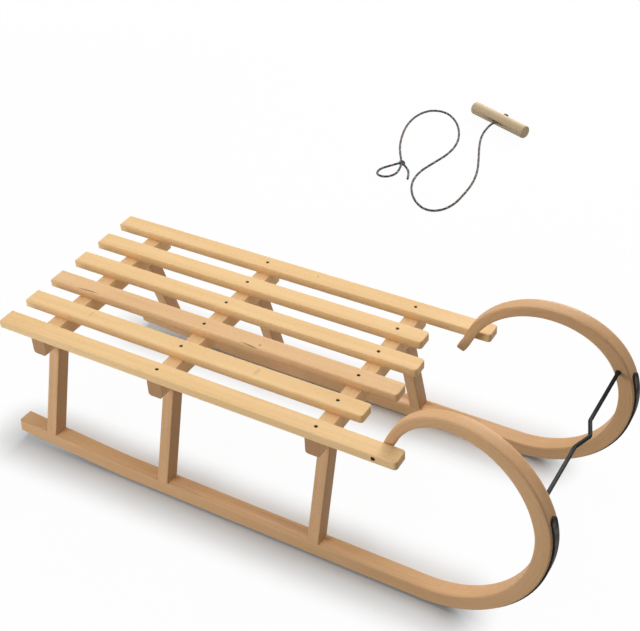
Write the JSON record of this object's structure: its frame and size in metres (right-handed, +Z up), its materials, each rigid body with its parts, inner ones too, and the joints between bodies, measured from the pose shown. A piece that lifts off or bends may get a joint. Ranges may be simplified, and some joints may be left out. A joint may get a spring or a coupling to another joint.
{
  "type": "horn sled",
  "caption": "Wooden horn sled: slatted seat on splayed legs, bent runners that curl back into horns, steel shoes, a front bar and a loose pull cord with a dowel handle.",
  "frame": {"origin": "on the ground, under the middle of the sled", "axes": "+X forward towards the horns, +Y to the sled's left, +Z up"},
  "size_m": [0.936, 1.4078, 0.3267],
  "materials": {
    "slat_wood": "pale beech, clear varnish",
    "frame_wood": "pale beech, clear varnish",
    "handle_wood": "turned beech, clear varnish",
    "shoe_steel": "rolled steel strip",
    "bar_steel": "black coated round bar",
    "cord_braid": "dark braided cord with coloured flecks"
  },
  "bodies": {
    "root": {"runner_left": "frame_wood", "shoe_left": "shoe_steel", "leg_rear_left": "frame_wood", "leg_middle_left": "frame_wood", "leg_front_left": "frame_wood", "slat_inner_left": "slat_wood", "slat_second_left": "slat_wood", "slat_outer_left": "slat_wood", "runner_right": "frame_wood", "shoe_right": "shoe_steel", "leg_rear_right": "frame_wood", "leg_middle_right": "frame_wood", "leg_front_right": "frame_wood", "slat_inner_right": "slat_wood", "slat_second_right": "slat_wood", "slat_outer_right": "slat_wood", "crossbar_rear": "frame_wood", "crossbar_middle": "frame_wood", "crossbar_front": "frame_wood", "front_bar": "bar_steel", "pull_handle": "handle_wood", "pull_cord": "cord_braid", "pull_cord_loop": "cord_braid", "pull_cord_tail": "cord_braid", "stopper_knot": "cord_braid", "loop_knot": "cord_braid"}
  },
  "joints": []
}
